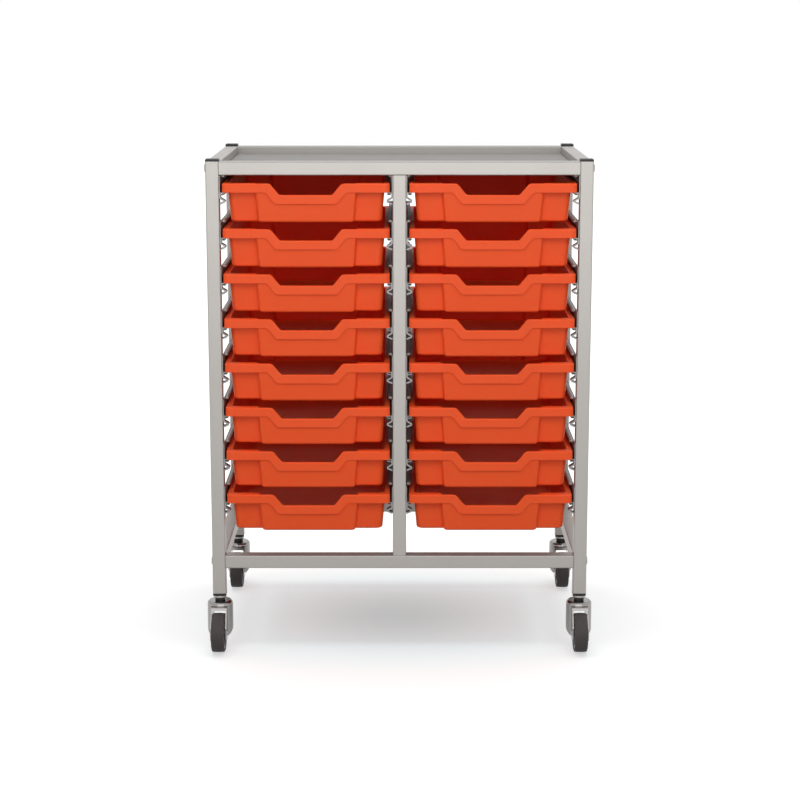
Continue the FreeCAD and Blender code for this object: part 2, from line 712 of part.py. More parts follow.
def wheel_patterns():
    """Tyre, hub and riveted axle, drawn about the centre of the wheel."""
    seat = "(dims.wheel_diameter / 2 - dims.tyre_thickness)"
    half = "(dims.wheel_width / 2)"
    tyre = turned_on_axle("tyre_pattern", "tread",
                          box_corners(f"-{half}", half, seat, AXLE_Z))
    soften(tyre, "shoulders", "dims.tyre_shoulder",
           lambda p: at((p.y ** 2 + p.z ** 2) ** 0.5, AXLE_Z))
    bore = "(dims.axle_diameter / 2 + dims.shaft_gap)"
    rim_in = f"({seat} - dims.hub_rim)"
    side = [("dims.hub_width / 2", bore), ("dims.hub_width / 2", "dims.hub_boss / 2"),
            ("dims.hub_web / 2", "dims.hub_boss / 2 + dims.hub_slope"),
            ("dims.hub_web / 2", f"{rim_in} - dims.hub_slope"),
            ("dims.hub_rim_width / 2", rim_in), ("dims.hub_rim_width / 2", seat)]
    other = [(f"-{across}", radius) for across, radius in reversed(side)]
    hub = turned_on_axle("hub_pattern", "section", side + other)
    pin = "(dims.axle_diameter / 2)"
    head = "(dims.axle_head / 2)"
    end = "(dims.cheek_half + dims.axle_head_height)"
    axle = turned_on_axle("axle_pattern", "section", [
        (f"-{end}", "0"), (f"-{end}", head), ("-dims.cheek_half", head), ("-dims.cheek_half", pin),
        ("dims.cheek_half", pin), ("dims.cheek_half", head), (end, head), (end, "0")])
    soften(axle, "heads", "dims.axle_head_round",
           lambda p: at(abs(p.x), end) and at((p.y ** 2 + p.z ** 2) ** 0.5, head))
    return {"tyre": tyre, "hub": hub, "axle": axle}


def castors():
    stem = stem_pattern()
    seal = seal_pattern()
    fork = fork_pattern()
    wheel = wheel_patterns()
    corners = {f"{end}_{side}": (f"{sign}{POST_X}", depth)
               for end, depth in (("front", POST_FRONT_Y), ("rear", POST_REAR_Y))
               for side, sign in (("left", "-"), ("right", ""))}
    copies("castor_stems", stem, [((*spot, "0"), STRAIGHT) for spot in corners.values()])
    copies("castor_seals", seal, [((*spot, "0"), STRAIGHT) for spot in corners.values()])
    for corner, (across, depth) in corners.items():
        copies(f"castor_fork_{corner}", fork, [((across, depth, "0"), STRAIGHT)])
        centre = (across, f"{depth} - dims.castor_trail", AXLE_Z)
        for piece, source in wheel.items():
            copies(f"castor_{piece}_{corner}", source, [(centre, STRAIGHT)])


frame()
top_pan()
end_pieces()
frame_bolts()
runners()
trays()
castors()
doc.recompute()

for item in doc.Objects:
    if "Invalid" in item.State or "Error" in item.State:
        raise RuntimeError(f"{item.Label} is {item.State}")
for item in NODES:
    if item.Shape.isNull() or not item.Shape.isValid() or not item.Shape.Solids:
        raise RuntimeError(f"{item.Label} has no valid solid")

os.makedirs("parts", exist_ok=True)
for item in NODES:
    item.Shape.exportStep(f"parts/{item.Label}.step")
print(f"{len(NODES)} sub-parts, {sum(len(item.Shape.Solids) for item in NODES)} solids")
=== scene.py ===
# %% [markdown]
# A mobile tray unit for a classroom: a frame of square steel tube on four castors, with two
# columns of shallow plastic trays on pressed-steel runners. The frame, its motion and every
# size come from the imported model. This file dresses it: it models the pieces whose surfaces
# need more form than the plain solids have, gives every piece a finish, and lights the whole.

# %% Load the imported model
import math

import bmesh
import bpy
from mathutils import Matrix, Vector


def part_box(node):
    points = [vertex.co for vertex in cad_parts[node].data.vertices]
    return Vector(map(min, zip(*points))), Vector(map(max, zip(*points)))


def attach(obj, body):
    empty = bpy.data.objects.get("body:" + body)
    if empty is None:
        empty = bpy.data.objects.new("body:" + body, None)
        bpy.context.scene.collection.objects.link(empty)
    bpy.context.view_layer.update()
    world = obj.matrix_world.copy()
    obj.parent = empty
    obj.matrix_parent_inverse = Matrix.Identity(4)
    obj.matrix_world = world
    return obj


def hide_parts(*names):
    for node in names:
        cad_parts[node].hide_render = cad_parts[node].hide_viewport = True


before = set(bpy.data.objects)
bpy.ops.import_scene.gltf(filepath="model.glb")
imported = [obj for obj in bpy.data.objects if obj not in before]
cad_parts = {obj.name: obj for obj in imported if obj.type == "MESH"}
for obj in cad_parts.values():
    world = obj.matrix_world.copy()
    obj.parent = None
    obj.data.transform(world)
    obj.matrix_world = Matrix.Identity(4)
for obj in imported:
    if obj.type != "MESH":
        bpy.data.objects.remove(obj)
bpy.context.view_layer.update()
MM = 0.001

# %% [markdown]
# The camera stands straight in front, a little above the top, as for a page in a catalogue.
# It looks down by about ten degrees, so the pan in the top shows. A small shift of the sensor
# keeps the posts nearly upright, as a view camera does; a larger one would cut off the unit
# when the camera is swung round it.

# %% Place the camera
CAMERA_ASIDE, CAMERA_AHEAD, CAMERA_HEIGHT = 0.00096, 3.5676, 1.2087
CAMERA_TILT = 10.238
LENS, SENSOR = 81.82, 36
SENSOR_SHIFT = -0.07

camera_data = bpy.data.cameras.new("camera")
camera_data.lens = LENS
camera_data.sensor_width = SENSOR
camera_data.shift_y = SENSOR_SHIFT
camera = bpy.data.objects.new("camera", camera_data)
camera.location = (CAMERA_ASIDE, -CAMERA_AHEAD, CAMERA_HEIGHT)
camera.rotation_euler = (math.radians(90 - CAMERA_TILT), 0, 0)
bpy.context.scene.collection.objects.link(camera)
bpy.context.scene.camera = camera
bpy.context.scene.view_settings.view_transform = "Standard"
print("camera", tuple(round(value, 3) for value in camera.location))

# %% [markdown]
# Effects that several finishes share are node groups, built once. Each takes a few numbers
# and gives back a height, a roughness or a colour; the shader itself stays in the material,
# where an exporter can read it. Three helpers write the nodes, so a group reads like a recipe.

# %% Helpers for node trees
def new_group(name, inputs, outputs):
    """An empty node group with float or colour sockets, and its two end nodes."""
    group = bpy.data.node_groups.new(name, "ShaderNodeTree")
    kinds = {"value": "NodeSocketFloat", "colour": "NodeSocketColor"}
    for label, kind, start in inputs:
        socket = group.interface.new_socket(label, in_out="INPUT", socket_type=kinds[kind])
        socket.default_value = start
    for label, kind in outputs:
        group.interface.new_socket(label, in_out="OUTPUT", socket_type=kinds[kind])
    return group, group.nodes.new("NodeGroupInput"), group.nodes.new("NodeGroupOutput")


def noise_node(tree, coordinates, detail, scale=None, scale_from=None):
    """A noise texture in object space, its scale given as a number or by a socket."""
    noise = tree.nodes.new("ShaderNodeTexNoise")
    noise.inputs["Detail"].default_value = detail
    tree.links.new(coordinates, noise.inputs["Vector"])
    if scale_from:
        tree.links.new(scale_from, noise.inputs["Scale"])
    else:
        noise.inputs["Scale"].default_value = scale
    return noise


def math_node(tree, operation, first, second):
    """A math node; each term is a number or a socket."""
    node = tree.nodes.new("ShaderNodeMath")
    node.operation = operation
    for place, term in enumerate((first, second)):
        if isinstance(term, (int, float)):
            node.inputs[place].default_value = term
        else:
            tree.links.new(term, node.inputs[place])
    return node.outputs["Value"]


print("tree helpers ready")

# %% [markdown]
# Grain is the finest unevenness of a surface: the peel of powder coat, or the skin that a
# spark-eroded mould leaves on plastic. An image of it would need unwrapping and would stretch,
# so the grain is a noise in the object's own space and keeps its real size on every piece.
# A second, slow noise lets the roughness wander between two values, as on a used surface.

# %% A shared group: fine surface grain
GRAIN_DETAIL = 3.0
CLOUD_DETAIL, CLOUDS_PER_METRE = 2.0, 14.0

grain_group, grain_in, grain_out = new_group(
    "fine grain",
    [("Grains per metre", "value", 800.0), ("Low", "value", 0.3), ("High", "value", 0.5)],
    [("Height", "value"), ("Roughness", "value")])
own_space = grain_group.nodes.new("ShaderNodeTexCoord").outputs["Object"]
fine = noise_node(grain_group, own_space, GRAIN_DETAIL,
                  scale_from=grain_in.outputs["Grains per metre"])
cloud = noise_node(grain_group, own_space, CLOUD_DETAIL, scale=CLOUDS_PER_METRE)
grain_group.links.new(fine.outputs["Fac"], grain_out.inputs["Height"])
room = math_node(grain_group, "SUBTRACT", grain_in.outputs["High"], grain_in.outputs["Low"])
wander = math_node(grain_group, "MULTIPLY", cloud.outputs["Fac"], room)
rough = math_node(grain_group, "ADD", wander, grain_in.outputs["Low"])
grain_group.links.new(rough, grain_out.inputs["Roughness"])
print("group", grain_group.name, [socket.name for socket in grain_group.interface.items_tree])

# %% [markdown]
# No painted or moulded surface has quite one colour all over. This group scales a colour up
# and down by a few percent with a slow noise. Mixing in a second colour would do as well, but
# one factor keeps the hue.

# %% A shared group: slow drift of tone
DRIFT_DETAIL = 4.0

drift_group, drift_in, drift_out = new_group(
    "tone drift",
    [("Colour", "colour", (0.5, 0.5, 0.5, 1)), ("Amount", "value", 0.05),
     ("Patches per metre", "value", 9.0)],
    [("Colour", "colour")])
own_space = drift_group.nodes.new("ShaderNodeTexCoord").outputs["Object"]
patches = noise_node(drift_group, own_space, DRIFT_DETAIL,
                     scale_from=drift_in.outputs["Patches per metre"])
centred = math_node(drift_group, "SUBTRACT", patches.outputs["Fac"], 0.5)
shift = math_node(drift_group, "MULTIPLY", centred, drift_in.outputs["Amount"])
factor = math_node(drift_group, "ADD", shift, 1.0)
tint = drift_group.nodes.new("ShaderNodeVectorMath")
tint.operation = "SCALE"
drift_group.links.new(drift_in.outputs["Colour"], tint.inputs[0])
drift_group.links.new(factor, tint.inputs["Scale"])
drift_group.links.new(tint.outputs["Vector"], drift_out.inputs["Colour"])
print("group", drift_group.name)

# %% [markdown]
# Each finish is one Principled shader fed by the two groups, so every surface gets grain, an
# uneven gloss and a drifting tone with its own numbers. Writing each material out by hand
# would repeat the same nodes eight times.

# %% One finish from the groups
def finish(name, colour, gloss, grains, depth, metallic=0.0, drift=0.05, specular=0.5):
    """A material. Gloss is its lowest and highest roughness, grains are counted per metre and
    their depth is in millimetres, and drift is how far the tone wanders, as a share."""
    material = bpy.data.materials.new(name)
    material.use_nodes = True
    tree = material.node_tree
    shader = tree.nodes["Principled BSDF"]
    shader.inputs["Metallic"].default_value = metallic
    shader.inputs["Specular IOR Level"].default_value = specular
    tone = tree.nodes.new("ShaderNodeGroup")
    tone.node_tree = drift_group
    tone.inputs["Colour"].default_value = (*colour, 1)
    tone.inputs["Amount"].default_value = drift
    tree.links.new(tone.outputs["Colour"], shader.inputs["Base Color"])
    surface = tree.nodes.new("ShaderNodeGroup")
    surface.node_tree = grain_group
    surface.inputs["Grains per metre"].default_value = grains
    surface.inputs["Low"].default_value, surface.inputs["High"].default_value = gloss
    tree.links.new(surface.outputs["Roughness"], shader.inputs["Roughness"])
    bump = tree.nodes.new("ShaderNodeBump")
    bump.inputs["Strength"].default_value = 1.0
    bump.inputs["Distance"].default_value = depth * MM
    tree.links.new(surface.outputs["Height"], bump.inputs["Height"])
    tree.links.new(bump.outputs["Normal"], shader.inputs["Normal"])
    return material


print("finish maker ready")

# %% [markdown]
# The tubes have a light, warm-grey powder coat with a fine orange peel. It is given a share
# of metal, as a coat with metal flake has: it then mirrors the lamp in front a little, and the
# posts grow darker towards the floor. A plain diffuse paint would look flat from top to foot.
# The pan and the runners are the same steel, with darker and duller finishes than the tubes.

# %% Coats of the steel parts
paint = finish("powder coat", (0.38, 0.361, 0.339), (0.36, 0.44), grains=700, depth=0.012,
               metallic=0.55)
pan_paint = finish("pan coat", (0.212, 0.204, 0.195), (0.56, 0.66), grains=700, depth=0.008,
                   metallic=0.1, specular=0.3)
runner_paint = finish("runner steel", (0.26, 0.251, 0.242), (0.34, 0.44), grains=700,
                      depth=0.008, metallic=0.5)
print("coats:", paint.name, "/", pan_paint.name, "/", runner_paint.name)

# %% [markdown]
# The trays are moulded in a strong orange plastic. Light sinks a few millimetres into it and
# comes back redder, which softens every edge. That is subsurface scattering: red travels
# furthest, green and blue hardly at all. A diffuse colour alone would look like paint. The
# black parts and the hubs are small hard mouldings and do without it.

# %% Moulded plastics
SINK_SHARE = 0.4
SINK_DEPTH = 6 * MM
SINK_BY_COLOUR = (1.0, 0.08, 0.03)

orange = finish("orange moulding", (0.96, 0.10, 0.017), (0.45, 0.55), grains=1400, depth=0.006,
                specular=0.3)
sinking = orange.node_tree.nodes["Principled BSDF"].inputs
sinking["Subsurface Weight"].default_value = SINK_SHARE
sinking["Subsurface Scale"].default_value = SINK_DEPTH
sinking["Subsurface Radius"].default_value = SINK_BY_COLOUR
black = finish("black moulding", (0.016, 0.016, 0.017), (0.34, 0.46), grains=1200, depth=0.01,
               specular=0.3)
hub_grey = finish("hub moulding", (0.30, 0.295, 0.33), (0.34, 0.44), grains=1200, depth=0.008)
print("plastics:", orange.name, "/", black.name, "/", hub_grey.name)

# %% [markdown]
# The castors' forks, axles and pins are plated. Plating is all metal, so its look comes from
# what it mirrors: only a grey tint, a low roughness and a trace of unevenness are its own. The
# tyres are the other extreme, dull, rough and nearly black.

# %% Plating and rubber
chrome = finish("bright plating", (0.31, 0.296, 0.288), (0.14, 0.2), grains=300, depth=0.0002,
                metallic=1.0, drift=0.02)
rubber = finish("tread rubber", (0.052, 0.046, 0.043), (0.55, 0.7), grains=1800, depth=0.02,
                specular=0.35)
print("castor finishes:", chrome.name, "/", rubber.name)

# %% [markdown]
# The tubes, the pan, the caps, the bolts and the castors' forks, axles and pins are right as
# plain solids: they only need their finish. A list of words picks it from the node's name,
# which is shorter than naming all the nodes. The pieces that are modelled anew further on get
# theirs here too, so the plain ones look right if one is ever shown.

# %% Dress the plain solids
FINISHES = [("top_pan", pan_paint), ("rail_inserts", black), ("post_caps", black),
            ("post_plugs", black), ("seals", black), ("fork", chrome), ("axle", chrome),
            ("stems", chrome), ("hub", hub_grey), ("tyre", rubber), ("tray_", orange),
            ("runners", runner_paint)]


def finish_for(node):
    """The finish of a node, powder coat where no word fits."""
    for word, material in FINISHES:
        if word in node:
            return material
    return paint


for node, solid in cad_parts.items():
    solid.data.materials.clear()
    solid.data.materials.append(finish_for(node))
print("dressed", len(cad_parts), "solids")

# %% [markdown]
# A mesh is built from points in millimetres, as the drawing gives them. A ring mesh is the
# workhorse: closed rings of equal length, joined to their neighbours by quads. A moulding
# with rounded edges is then one skin from its inside floor over the rim to its underside.

# %% Mesh helpers
def new_piece(name, points, faces, material):
    """An object whose mesh has these points, in millimetres, shaded smooth."""
    mesh = bpy.data.meshes.new(name)
    mesh.from_pydata([tuple(value * MM for value in point) for point in points], [], faces)
    skin = bmesh.new()
    skin.from_mesh(mesh)
    bmesh.ops.recalc_face_normals(skin, faces=skin.faces)
    skin.to_mesh(mesh)
    skin.free()
    mesh.shade_smooth()
    mesh.materials.append(material)
    piece = bpy.data.objects.new(name, mesh)
    bpy.context.scene.collection.objects.link(piece)
    return piece


def ring_faces(rings, size, first=0):
    """Quads between neighbouring closed rings, and a flat face over the first and last."""
    faces = []
    for ring in range(rings - 1):
        low = first + ring * size
        for step in range(size):
            after = (step + 1) % size
            faces.append((low + step, low + after, low + size + after, low + size + step))
    last = first + (rings - 1) * size
    faces.append(tuple(range(first + size - 1, first - 1, -1)))
    faces.append(tuple(range(last, last + size)))
    return faces


FLAT_FACE_WEIGHT = 80


def settle_normals(piece):
    """Let large flat faces keep their own normal, so that only the rounded edges shade."""
    weighted = piece.modifiers.new("flat faces stay flat", "WEIGHTED_NORMAL")
    weighted.weight = FLAT_FACE_WEIGHT
    return piece


print("helpers ready")

# %% [markdown]
# A tray is an injection moulding, 2 mm thick: a tub that tapers by five degrees, a centre
# panel that stands forward at the front and the rear, and a flat rim with a turned-down
# skirt. At the front the rim dips to make a hand hold. The skin is laid out in stations
# along the outline; each station knows where the rim and the tub lie at any depth.

# %% Sizes of a tray
TRAY_WIDTH, TRAY_LENGTH, TRAY_DEPTH = 312, 427, 73
RIM = 17
WALL = 2
RIM_CORNER, RIM_OVERHANG = 9, 8.5
TUB_HALF = TRAY_WIDTH / 2 - RIM_OVERHANG
TUB_END = 16
TUB_CORNER = 10
PANEL_HALF = 95.5
PANEL_CORNER = 5
PANEL_ROOT = 2.5
DRAFT = math.tan(math.radians(5))
DIP = 21.3
DIP_TOP, DIP_BOTTOM = 66.7, 49.2
BAND_TOP, BAND_BOTTOM = 74.5, 57.6
DIP_CROWN, DIP_ROUND = 9, 6
UNDERSIDE = RIM - TRAY_DEPTH
RIM_ROUND, SKIRT_ROUND, LIP_ROUND, MOUTH_ROUND = 1.6, 0.9, 0.8, 1.2
FLOOR_ROUND, BASE_ROUND, FILLET = 3, 4.5, 1.0
print("tray", TRAY_WIDTH, "x", TRAY_LENGTH, "x", TRAY_DEPTH, "mm")

# %% [markdown]
# The hand hold is a dip in the front of the rim, flat at the bottom with a slope on each
# side. Cutting it out of a finished tray would leave edges to repair, so one function says
# how far the rim has dropped at a distance from the middle, and all of the front reads its
# height from it. The upper and lower edge of the band dip at slightly different places, which
# gives the band its slanted ends.

# %% The dip's outline, with rounded corners
def dip_drop(across, top, bottom):
    """How far the rim has dropped at a distance from the middle. Two straight slopes are
    joined to the flats by arcs."""
    angle = math.atan2(DIP, top - bottom)
    x = abs(across)
    low_cut = DIP_ROUND * math.tan(angle / 2)
    high_cut = DIP_CROWN * math.tan(angle / 2)
    if x <= bottom - low_cut:
        return DIP
    if x >= top + high_cut:
        return 0.0
    if x < bottom + low_cut * math.cos(angle):
        run = x - (bottom - low_cut)
        return DIP - DIP_ROUND + math.sqrt(DIP_ROUND ** 2 - run ** 2)
    if x > top - high_cut * math.cos(angle):
        run = (top + high_cut) - x
        return DIP_CROWN - math.sqrt(DIP_CROWN ** 2 - run ** 2)
    return (top - x) * math.tan(angle)


print("drop", [round(dip_drop(x, DIP_TOP, DIP_BOTTOM), 1) for x in range(40, 80, 6)])

# %% [markdown]
# The skin needs points where its form bends: close together round the corners and along the
# dip, and far apart on the straights. A station is one place on the outline, given by the
# part that it lies in and its share of that part, so that the tub and the rim over it can
# each work out their own point there. One quarter at the front and one at the rear are
# enough, because each is mirrored.

# %% Stations along a quarter of the outline
def spread(start, end, count, ends=True):
    """Evenly spaced values, with or without the last."""
    steps = count - 1 if ends else count
    return [start + (end - start) * step / steps for step in range(count)]


LAST_STEP = 79
STEP_CLEAR = 0.5
FRONT_STEPS = [0, 15, 30, 40] + spread(43, LAST_STEP, 37)
REAR_STEPS = [0, 26, 52, LAST_STEP]
PARTS = {"panel corner": 6, "root": 5, "face": 4, "corner": 9, "side": 3}


def quarter(panel_steps):
    """Stations from the middle of an end to the middle of a side: a part and how far along."""
    stations = [("panel", x) for x in panel_steps]
    for part, count in PARTS.items():
        stations += [(part, share) for share in spread(0, 1, count, ends=part != "side")]
    return stations + [("side", 1.0)]


def off_ends(share, margin=0.1):
    """A share of a stretch, moved in from both ends."""
    return margin + (1 - 2 * margin) * share


def past_start(share, margin=0.05):
    """A share of a stretch, moved in from its start."""
    return margin + (1 - margin) * share


def arc(centre_x, centre_y, radius, start, end, share):
    """A point on an arc between two angles, in degrees."""
    angle = math.radians(start + (end - start) * share)
    return centre_x + radius * math.cos(angle), centre_y + radius * math.sin(angle)


def tub_point(part, along, inset, radius_cut=0.0):
    """A point of the tub's outline, drawn in by an inset from its size at the rim's top."""
    half, end = TUB_HALF - inset, TUB_END + inset
    panel, face = PANEL_HALF - inset, WALL + inset
    corner, edge = TUB_CORNER - radius_cut, PANEL_CORNER - radius_cut
    root = PANEL_ROOT + radius_cut
    if part == "panel":
        return along * min(1.0, (panel - edge - STEP_CLEAR) / LAST_STEP), face
    if part == "panel corner":
        return arc(panel - edge, face + edge, edge, -90, 0, along)
    if part == "root":
        return arc(panel + root, end - root, root, 180, 90, along)
    if part == "face":
        return panel + root + (half - corner - panel - root) * off_ends(along), end
    if part == "corner":
        return arc(half - corner, end + corner, corner, -90, 0, along)
    return half, end + corner + (TRAY_LENGTH / 2 - end - corner) * past_start(along)


RIM_CORNER_FROM, RIM_ROOT_FROM, RIM_BEND_RUN = 86, 92.5, 5.5
RIM_FACE_FROM, RIM_FACE_RUN = 100, 46


def rim_point(part, along, inset):
    """The matching point of the rim, which runs straight past the panel's corner and root."""
    half, corner = TRAY_WIDTH / 2 - inset, RIM_CORNER - inset
    if part == "panel":
        return along, inset
    if part == "panel corner":
        return RIM_CORNER_FROM + RIM_BEND_RUN * along, inset
    if part == "root":
        return RIM_ROOT_FROM + RIM_BEND_RUN * along, inset
    if part == "face":
        return RIM_FACE_FROM + RIM_FACE_RUN * off_ends(along), inset
    if part == "corner":
        return arc(half - corner, RIM_CORNER, corner, -90, 0, along)
    return half, RIM_CORNER + (TRAY_LENGTH / 2 - RIM_CORNER) * past_start(along)


print("stations:", len(quarter(FRONT_STEPS)), "front,", len(quarter(REAR_STEPS)), "rear")

# %% [markdown]
# The rings run from the middle of the inside floor up the wall, over the rim, down the skirt
# and back under it to the middle of the underside. Each edge is a fillet of a few rings, as a
# mould's rounded edges are. Around the dip a ring's height follows the drop, so the same
# rings make the hand hold too.

# %% Rings of a tray
FLOOR_INSETS = (14, 4)
BASE_INSETS = (18, 19)
BASE_DISH = 0.6
UNDER_RIM = (0.25, 0.75)
FLOOR_TURNS = (15, 40, 65, 90)
COARSE, EVEN, FINE = (0, 45, 90), (0, 30, 60, 90), (0, 22, 45, 67, 90)


def quarter_round(radius, angles):
    """Places on a rounded edge: how far each has still to go, and how far it has come."""
    for angle in angles:
        turn = math.radians(angle)
        yield radius * (1 - math.sin(turn)), radius * (1 - math.cos(turn))


def blend_points(first, second, share):
    """The point at a share of the way from the first to the second."""
    return tuple(a + (b - a) * share for a, b in zip(first, second))


def tray_rings(part, along, is_front):
    """The points of every ring at one station, inside floor first."""
    dips = is_front and part == "panel"
    top = RIM - (dip_drop(along, DIP_TOP, DIP_BOTTOM) if dips else 0)
    edge = -(dip_drop(along, BAND_TOP, BAND_BOTTOM) if dips else 0)
    points = []

    def inner(height, extra=0.0):
        x, y = tub_point(part, along, WALL + (RIM - height) * DRAFT + extra, WALL)
        points.append((x, y, height))

    def outer(height, extra=0.0):
        x, y = tub_point(part, along, (RIM - height) * DRAFT + extra)
        points.append((x, y, height))

    def skirt(inset, height):
        x, y = rim_point(part, along, inset)
        points.append((x, y, height))

    floor = UNDERSIDE + WALL
    for extra in FLOOR_INSETS:
        inner(floor, extra)
    for to_go, come in quarter_round(FLOOR_ROUND, FLOOR_TURNS):
        inner(floor + come, to_go)
    for to_go, come in quarter_round(MOUTH_ROUND, EVEN):
        inner(top - to_go, -come)
    for to_go, come in quarter_round(RIM_ROUND, FINE):
        skirt(to_go, top - come)
    for to_go, come in quarter_round(SKIRT_ROUND, EVEN):
        skirt(come, edge + to_go)
    for to_go, come in quarter_round(LIP_ROUND, COARSE):
        skirt(WALL - to_go, edge + come)
    under = top - WALL
    skirt(WALL, under - FILLET)
    lip = rim_point(part, along, WALL)
    wall = tub_point(part, along, (RIM - under) * DRAFT)
    for share in UNDER_RIM:
        points.append((*blend_points(lip, wall, share), under))
    outer(under - FILLET)
    for to_go, come in quarter_round(BASE_ROUND, FINE):
        outer(UNDERSIDE + to_go, come)
    outer(UNDERSIDE, BASE_INSETS[0])
    outer(UNDERSIDE + BASE_DISH, BASE_INSETS[1])
    return points


print("rings", len(tray_rings("panel", 0, True)))

# %% [markdown]
# A quarter at the front and a quarter at the rear, each with its mirror image, give all the
# columns of points round the tray. Read across, the columns become rings, and joined rings
# become the closed skin. Mirroring the numbers leaves no seam that has to be welded.

# %% Build one tray
def build_tray():
    """The moulding about the middle of its front edge: the skirt's edge is at height zero."""
    columns = []
    front, rear = quarter(FRONT_STEPS), quarter(REAR_STEPS)
    for part, along in front[:-1]:
        columns.append(tray_rings(part, along, True))
    for part, along in reversed(rear[1:]):
        columns.append([(x, TRAY_LENGTH - y, z) for x, y, z in tray_rings(part, along, False)])
    for part, along in rear[:-1]:
        columns.append([(-x, TRAY_LENGTH - y, z) for x, y, z in tray_rings(part, along, False)])
    for part, along in reversed(front[1:]):
        columns.append([(-x, y, z) for x, y, z in tray_rings(part, along, True)])
    rings = len(columns[0])
    points = [column[ring] for ring in range(rings) for column in columns]
    return points, ring_faces(rings, len(columns))


tray_points, tray_faces = build_tray()
print("tray mesh:", len(tray_points), "points,", len(tray_faces), "faces")

# %% [markdown]
# All sixteen trays come out of one mould, so they share one mesh. Each copy is placed by the
# box of the plain tray that it replaces, and rides on that tray's body when it slides.

# %% Put a tray on each pair of runners
tray_pattern = settle_normals(new_piece("tray_pattern", tray_points, tray_faces, orange))


def hang_tray(node):
    """A moulded tray in the place of a plain one, riding on the same body."""
    low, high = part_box(node)
    tray = tray_pattern.copy()
    tray.name = node.replace("tray_", "moulded_tray_")
    tray.location = ((low.x + high.x) / 2, low.y, high.z - RIM * MM)
    bpy.context.scene.collection.objects.link(tray)
    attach(tray, node)
    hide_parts(node)
    return tray


tray_nodes = [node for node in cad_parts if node.startswith("tray_")]
for node in tray_nodes:
    hang_tray(node)
bpy.data.objects.remove(tray_pattern)
print("hung", len(tray_nodes), "trays")

# %% [markdown]
# A runner is one strip of sheet, folded at the foot into a ledge with a turned-down edge and
# rolled at the top into a bead, so a tray's rim slides between the two. A pressed foot under
# each end stands against the post. The section is drawn as a folded strip and drawn out.

# %% A folded strip of sheet
def rounded_path(corners, radius, steps=5):
    """An open path whose inner corners are replaced by arcs."""
    path = [corners[0]]
    for before, corner, after in zip(corners, corners[1:], corners[2:]):
        into = (Vector(corner) - Vector(before)).normalized()
        out = (Vector(after) - Vector(corner)).normalized()
        half_turn = into.angle(out) / 2
        room = radius * math.tan(half_turn)
        first, last = Vector(corner) - into * room, Vector(corner) + out * room
        bisector = (out - into).normalized()
        centre = Vector(corner) + bisector * (radius / math.cos(half_turn))
        for step in range(steps + 1):
            spoke = (first - centre).lerp(last - centre, step / steps)
            path.append(tuple(centre + spoke.normalized() * radius))
    return path + [corners[-1]]


def folded_strip(corners, gauge, radius):
    """The closed outline of a strip of sheet whose middle follows a rounded path."""
    path = [Vector(point) for point in rounded_path(corners, radius)]
    left, right = [], []
    for place, point in enumerate(path):
        ahead = path[min(place + 1, len(path) - 1)] - path[max(place - 1, 0)]
        normal = Vector((-ahead.y, ahead.x)).normalized() * (gauge / 2)
        left.append(tuple(point + normal))
        right.append(tuple(point - normal))
    return left + right[::-1]


def drawn_out(section, start, end):
    """Points and faces of a section in x and z, drawn out along y."""
    points = [(x, y, z) for y in (start, end) for x, z in section]
    return points, ring_faces(2, len(section))


print("strip of", len(folded_strip([(0, 0), (10, 0), (10, 10)], 1.5, 2)), "corners")

# %% [markdown]
# On the real runner the ledge's free edge is folded down and returned in a hem, and the top
# edge is rolled inwards into a bead that keeps the tray down. The bead stops short of both
# ends with a drawn-in nose, so a tray's rim finds its way under it. Rolling the strip round
# itself would make inner turns that no one sees, so the bead is a solid bar of rounded
# section.

# %% One runner
GAUGE = 1.5
RUN = 428
LEDGE, HEM, HEM_EDGE, STRIP_BEND = 10.4, 4.6, 3.5, 1.4
BEAD_LOW, BEAD_TOP, BEAD_REACH, BEAD_LEAD = 24, 31, 9, 35
BEAD_STEPS, BEAD_SQUARENESS = 24, 0.6
NOSE, NOSE_STEPS, NOSE_TIP, NOSE_LEAN = 5, 5, 0.3, 0.6
FOOT_GAUGE, FOOT_LENGTH, FOOT_BEND = 2.9, 15, 1.6
FOOT_TOP, FOOT_TIP, FOOT_LOW, FOOT_REACH = 10.5, 17, 23, 12.5
FOOT_EDGE, FOOT_HEEL = 0.5, 1.2


def merge(shapes):
    """One list of points and faces from several."""
    points, faces = [], []
    for more_points, more_faces in shapes:
        shift = len(points)
        points += more_points
        faces += [tuple(index + shift for index in face) for face in more_faces]
    return points, faces


def squared(value):
    """A coordinate of the unit circle, moved outwards so that the circle's sides flatten."""
    return math.copysign(abs(value) ** BEAD_SQUARENESS, value)


def bead():
    """The rolled top edge: a rounded bar whose ends are drawn in like a bullet's nose."""
    middle_x, middle_z = (GAUGE / 2 + BEAD_REACH) / 2, (BEAD_LOW + BEAD_TOP) / 2
    half_x, half_z = (BEAD_REACH - GAUGE / 2) / 2, (BEAD_TOP - BEAD_LOW) / 2
    turns = [math.tau * step / BEAD_STEPS for step in range(BEAD_STEPS)]
    section = [(squared(math.cos(turn)), squared(math.sin(turn))) for turn in turns]
    stations = []
    for step in range(NOSE_STEPS + 1):
        turn = math.radians(90 * step / NOSE_STEPS)
        stations.append((BEAD_LEAD + NOSE * (1 - math.cos(turn)),
                         NOSE_TIP + (1 - NOSE_TIP) * math.sin(turn)))
    stations += [(RUN - along, size) for along, size in reversed(stations)]
    points = []
    for along, size in stations:
        lean = NOSE_LEAN * half_x * (1 - size)
        for across, up in section:
            points.append((middle_x + across * half_x * size - lean, along,
                           middle_z + up * half_z * size))
    return points, ring_faces(len(stations), len(section))


